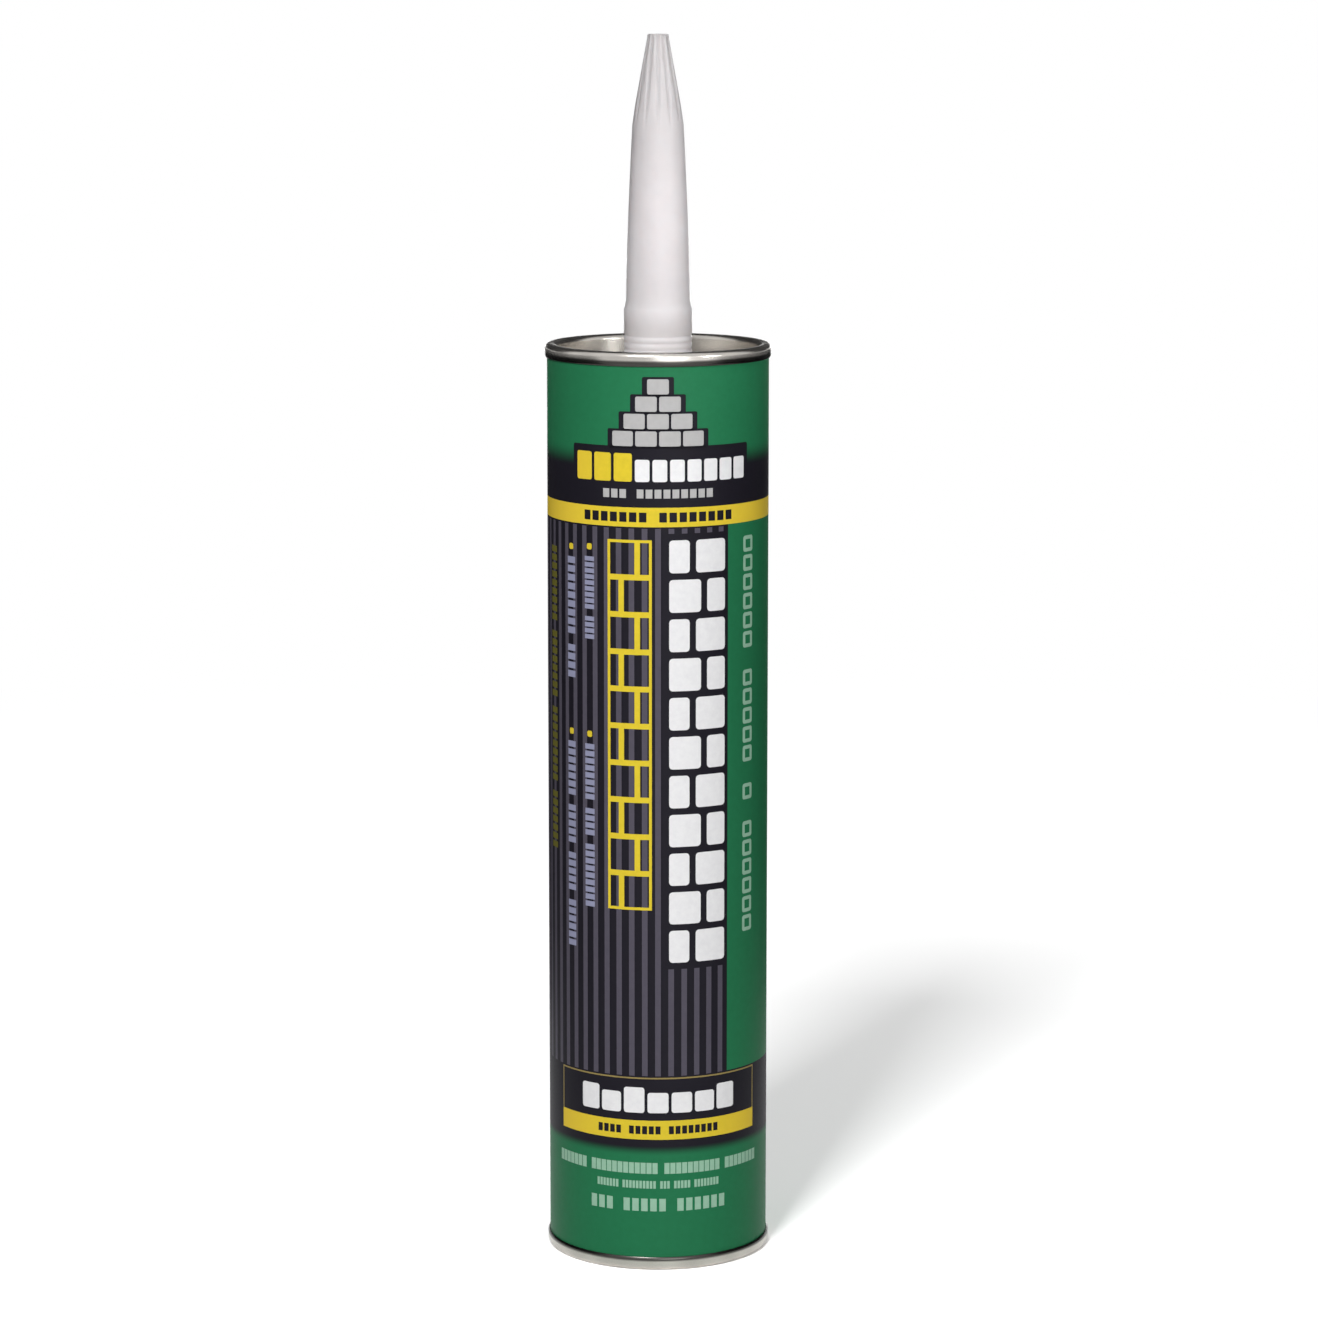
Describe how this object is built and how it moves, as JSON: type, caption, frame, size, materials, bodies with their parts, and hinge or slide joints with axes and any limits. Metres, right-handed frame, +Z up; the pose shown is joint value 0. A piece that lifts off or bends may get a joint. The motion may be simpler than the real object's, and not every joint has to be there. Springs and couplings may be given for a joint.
{
  "type": "adhesive cartridge",
  "caption": "Round board cartridge of construction adhesive with crimped steel ends, a closed tapered nozzle and a sliding piston, for a caulking gun.",
  "frame": {"origin": "centre of the circle on which the bottom ring stands", "axes": "+Z up along the cartridge's axis towards the nozzle's tip; -Y is the front of the label; +X is to the right of the front"},
  "size_m": [0.0518, 0.0518, 0.2818],
  "materials": {
    "board": "spiral-wound kraft board",
    "steel_end": "bright tinplate, drawn and crimped",
    "nozzle_plastic": "translucent natural polyethylene, moulded",
    "foil": "thin foil membrane",
    "piston_plastic": "moulded polyethylene",
    "adhesive_paste": "thick tan paste",
    "green_print": "coated label paper, green ink under varnish",
    "dark_print": "coated label paper, black ink under varnish",
    "stripe_print": "coated label paper, grey ink under varnish",
    "yellow_print": "coated label paper, yellow ink under varnish",
    "white_print": "coated label paper, unprinted white under varnish",
    "pale_print": "coated label paper, pale green ink under varnish",
    "grey_print": "coated label paper, light grey ink under varnish"
  },
  "bodies": {
    "cartridge": {"tube": "board", "bottom_ring": "steel_end", "top_end": "steel_end", "nozzle": "nozzle_plastic", "foil_seal": "foil", "adhesive": "adhesive_paste", "label_green": "green_print", "label_dark": "dark_print", "label_stripes": "stripe_print", "label_yellow": "yellow_print", "label_white": "white_print", "label_pale": "pale_print", "label_grey": "grey_print"},
    "plunger": {"piston": "piston_plastic"}
  },
  "joints": [
    {"name": "piston_slide", "type": "slide", "parent": "cartridge", "child": "plunger", "axis": [0, 0, 1], "range_m": [0, 0.171], "deforming": ["adhesive"]}
  ]
}
